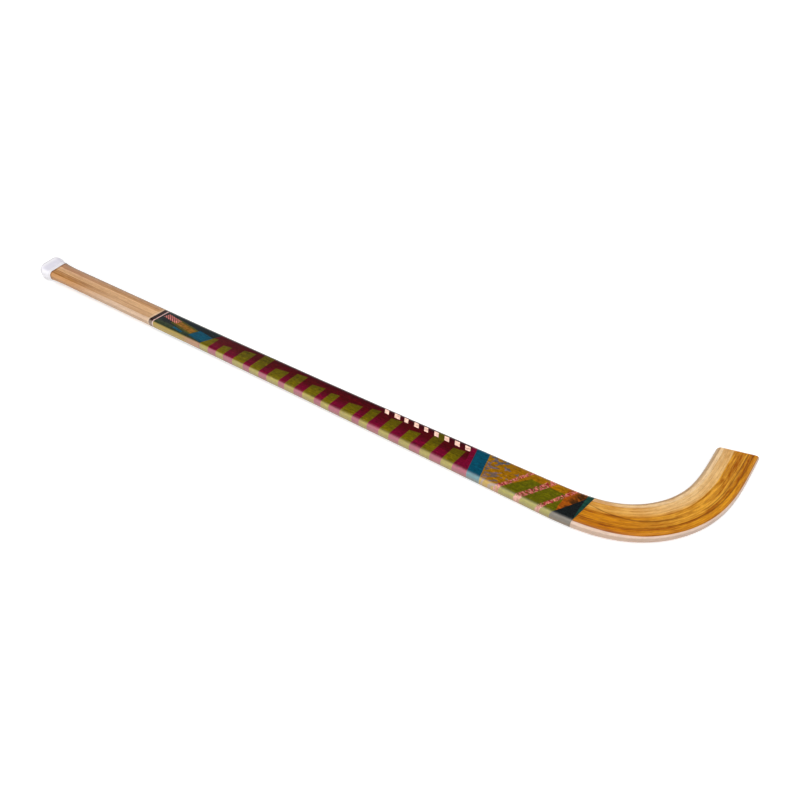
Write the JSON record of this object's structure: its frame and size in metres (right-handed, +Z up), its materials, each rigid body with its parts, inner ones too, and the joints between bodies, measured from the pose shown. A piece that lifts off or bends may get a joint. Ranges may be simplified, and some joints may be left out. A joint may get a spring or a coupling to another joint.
{
  "type": "roller hockey stick",
  "caption": "Wooden roller hockey stick of glued laminations, with a bent hook, a printed sleeve round the shaft and a flared white end cap.",
  "frame": {"origin": "on the floor, under the middle of the stick's box as it lies on its flat side", "axes": "+X from the end cap along the shaft to the hook, +Y to the side that the hook bends towards, +Z up from the floor. The stick touches the floor with the cap's edge and the hook, so its shaft slopes by about 0.3 degrees"},
  "size_m": [1.0024, 0.2048, 0.0248],
  "materials": {
    "pale_wood": "clear satin lacquer over pale wood",
    "golden_wood": "clear satin lacquer over golden brown wood",
    "light_wood": "clear satin lacquer over light tan wood",
    "tan_wood": "clear satin lacquer over tan wood",
    "film": "glossy printed film in burgundy, olive, ochre and dark blue",
    "cap": "white moulded plastic, slightly satin"
  },
  "bodies": {
    "root": {"lamina_1": "pale_wood", "lamina_2": "golden_wood", "lamina_3": "golden_wood", "lamina_4": "light_wood", "lamina_5": "light_wood", "lamina_6": "tan_wood", "lamina_7": "light_wood", "lamina_8": "tan_wood", "blade_wedge_1": "golden_wood", "blade_wedge_2": "light_wood", "blade_wedge_3": "light_wood", "film_sleeve": "film", "end_cap": "cap"}
  },
  "joints": []
}
